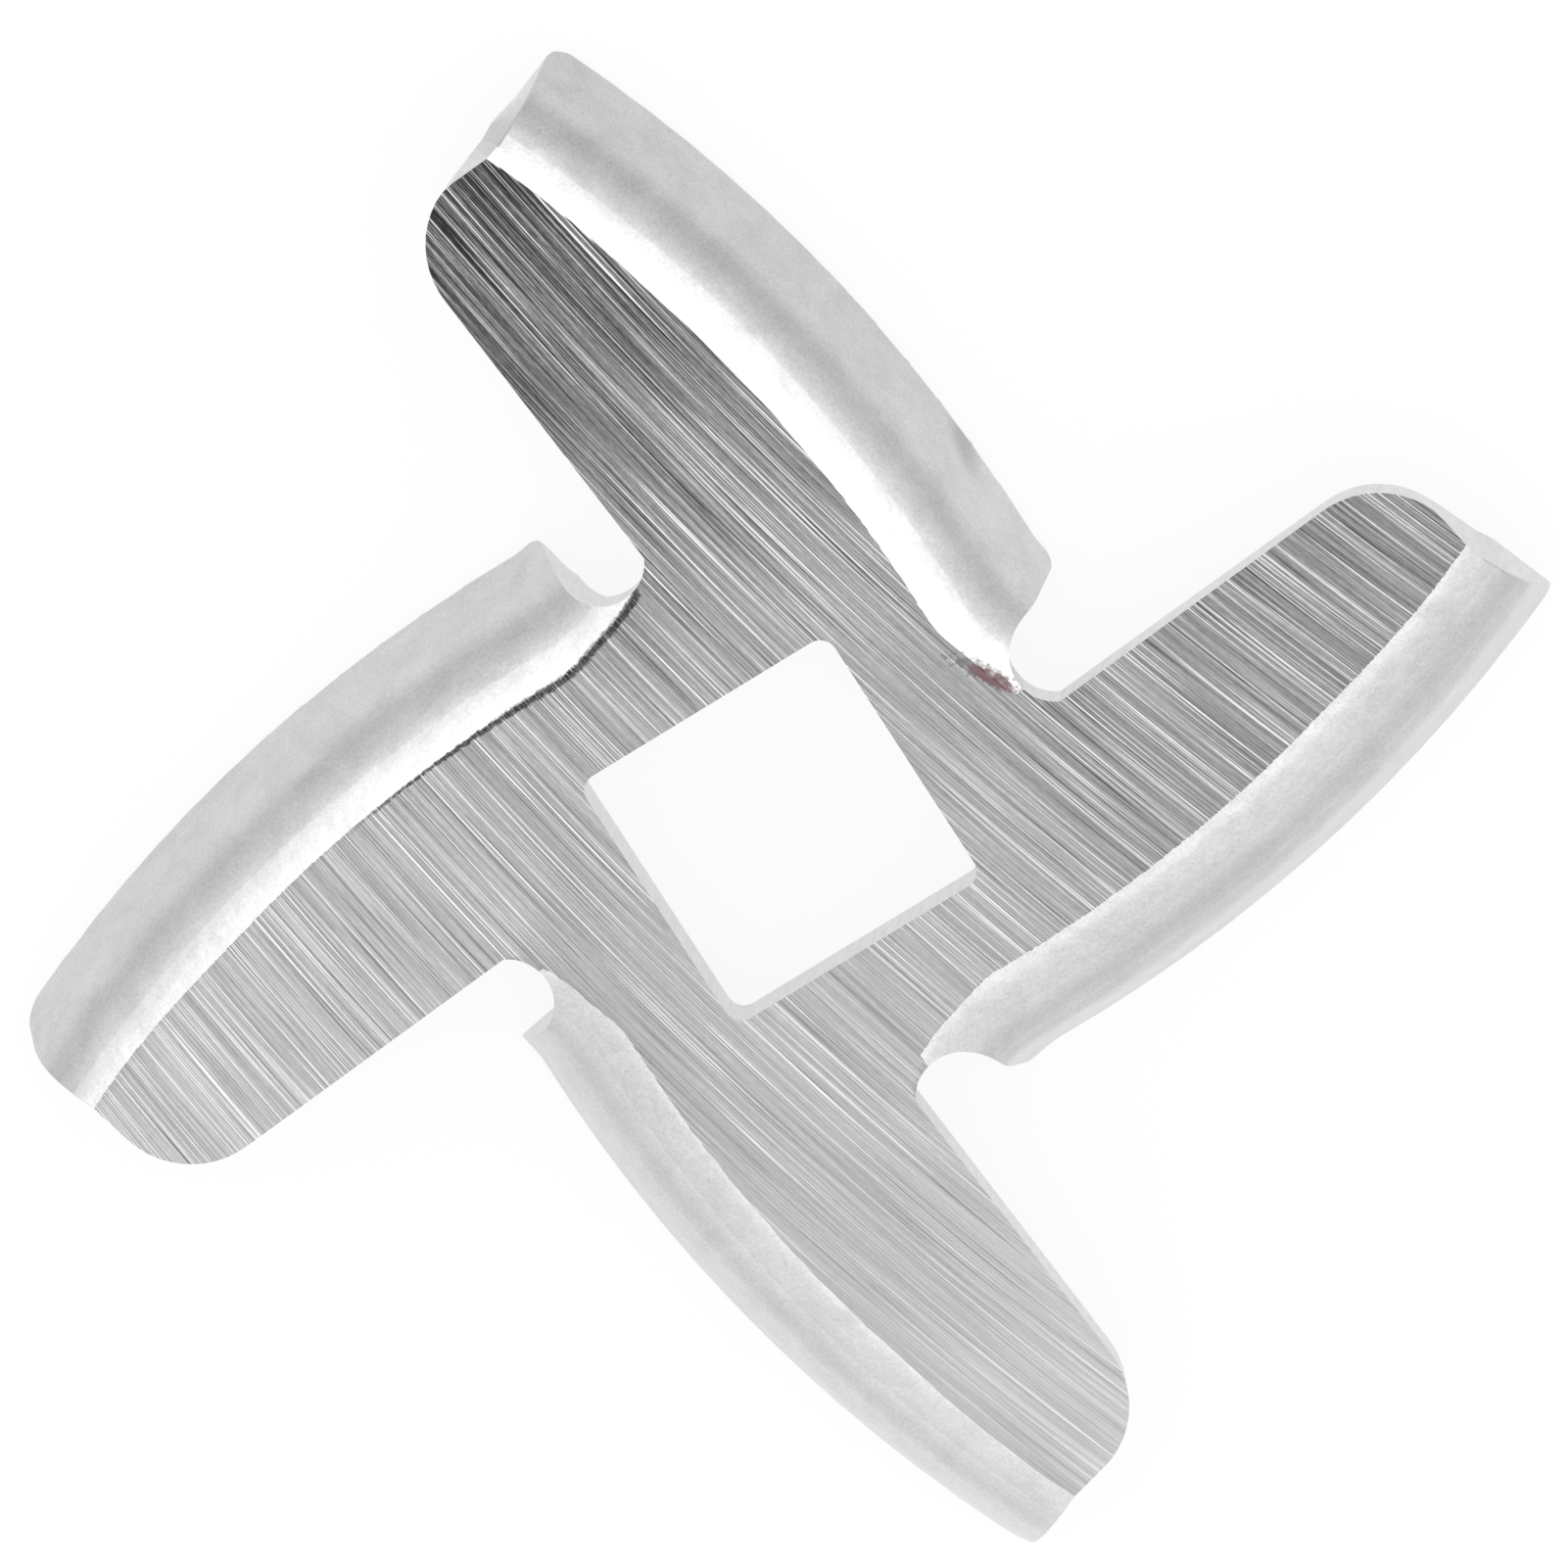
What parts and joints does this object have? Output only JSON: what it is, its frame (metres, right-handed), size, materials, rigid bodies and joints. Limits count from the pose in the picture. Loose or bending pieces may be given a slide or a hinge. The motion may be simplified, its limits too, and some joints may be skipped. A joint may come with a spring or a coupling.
{
  "type": "meat grinder knife",
  "caption": "Cross-shaped stamped steel knife for a hand or kitchen meat grinder, with a square hole, ground cutting faces and folded curved lips along the arms.",
  "frame": {"origin": "on the bore's axis, at the level of the lips' lower edges", "axes": "+Z along the bore axis towards the ground cutting face; the sides of the square bore run along X and Y and one arm points along +Y"},
  "size_m": [0.0432, 0.0432, 0.0045],
  "materials": {
    "ground_and_tumbled_steel": "ground face with long fine marks, satin tumbled lips"
  },
  "bodies": {
    "root": {"knife": "ground_and_tumbled_steel"}
  },
  "joints": []
}
